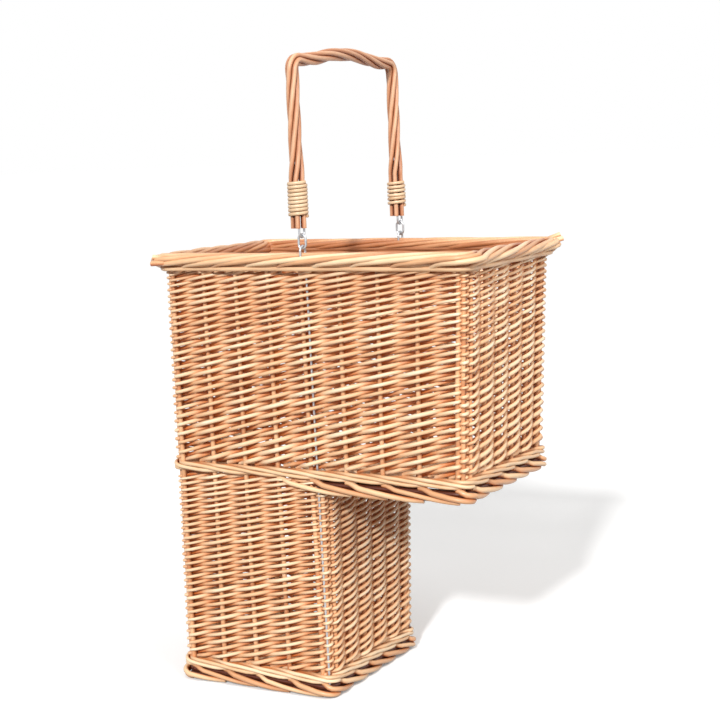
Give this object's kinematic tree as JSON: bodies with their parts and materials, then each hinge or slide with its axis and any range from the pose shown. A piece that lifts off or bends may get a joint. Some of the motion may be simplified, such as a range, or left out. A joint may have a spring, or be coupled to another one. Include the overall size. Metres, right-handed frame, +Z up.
{
  "type": "woven stair basket",
  "caption": "Woven willow stair basket: a long upper box overhangs a half-length lower box, with a twisted-rod handle that swings on chain links.",
  "frame": {"origin": "on the floor, below the centre of the rim", "axes": "+X from the tall end to the overhanging end, +Y from the front long side to the back, +Z up"},
  "size_m": [0.3183, 0.1974, 0.5617],
  "materials": {
    "willow_weave": "satin",
    "willow_stake": "satin",
    "willow_border": "satin",
    "willow_floor": "satin",
    "handle_rod": "satin",
    "split_cane": "satin",
    "steel_wire": "bright"
  },
  "bodies": {
    "basket": {"foot_border": "willow_border", "base_wale": "willow_border", "lower_floor": "willow_floor", "lower_weave": "willow_weave", "overhang_border": "willow_border", "step_wale": "willow_border", "step_floor": "willow_floor", "upper_weave": "willow_weave", "top_border": "willow_border", "front_stake_1": "willow_stake", "front_stake_2": "willow_stake", "front_stake_3": "willow_stake", "front_stake_4": "willow_stake", "front_stake_5": "willow_stake", "front_overhang_stake_1": "willow_stake", "front_overhang_stake_2": "willow_stake", "front_overhang_stake_3": "willow_stake", "front_overhang_stake_4": "willow_stake", "back_stake_1": "willow_stake", "back_stake_2": "willow_stake", "back_stake_3": "willow_stake", "back_stake_4": "willow_stake", "back_stake_5": "willow_stake", "back_overhang_stake_1": "willow_stake", "back_overhang_stake_2": "willow_stake", "back_overhang_stake_3": "willow_stake", "back_overhang_stake_4": "willow_stake", "tall_end_stake_1": "willow_stake", "tall_end_stake_2": "willow_stake", "tall_end_stake_3": "willow_stake", "tall_end_stake_4": "willow_stake", "tall_end_stake_5": "willow_stake", "tall_end_stake_6": "willow_stake", "riser_stake_1": "willow_stake", "riser_stake_2": "willow_stake", "riser_stake_3": "willow_stake", "riser_stake_4": "willow_stake", "riser_stake_5": "willow_stake", "riser_stake_6": "willow_stake", "overhang_end_stake_1": "willow_stake", "overhang_end_stake_2": "willow_stake", "overhang_end_stake_3": "willow_stake", "overhang_end_stake_4": "willow_stake", "overhang_end_stake_5": "willow_stake", "overhang_end_stake_6": "willow_stake", "front_stay": "steel_wire", "back_stay": "steel_wire"},
    "front_chain": {"front_link": "steel_wire"},
    "back_chain": {"back_link": "steel_wire"},
    "handle": {"handle_rod_1": "handle_rod", "handle_rod_2": "handle_rod", "handle_rod_3": "handle_rod", "front_binding": "split_cane", "back_binding": "split_cane", "front_loop": "steel_wire", "back_loop": "steel_wire"}
  },
  "joints": [
    {"name": "chain_swing", "type": "hinge", "parent": "basket", "child": "front_chain", "pos_m": [-0.002, -0.0885, 0.3965], "axis": [0, 1, 0], "range_deg": [-22, 22]},
    {"name": "back_chain_swing", "type": "hinge", "parent": "basket", "child": "back_chain", "pos_m": [-0.002, 0.0885, 0.3965], "axis": [0, 1, 0], "range_deg": [-22, 22]},
    {"name": "handle_swing", "type": "hinge", "parent": "front_chain", "child": "handle", "pos_m": [-0.002, -0.0885, 0.4037], "axis": [0, 1, 0], "range_deg": [-68, 68]}
  ],
  "couplings": [
    {"joint": "back_chain_swing", "follows": "chain_swing", "ratio": 1}
  ]
}
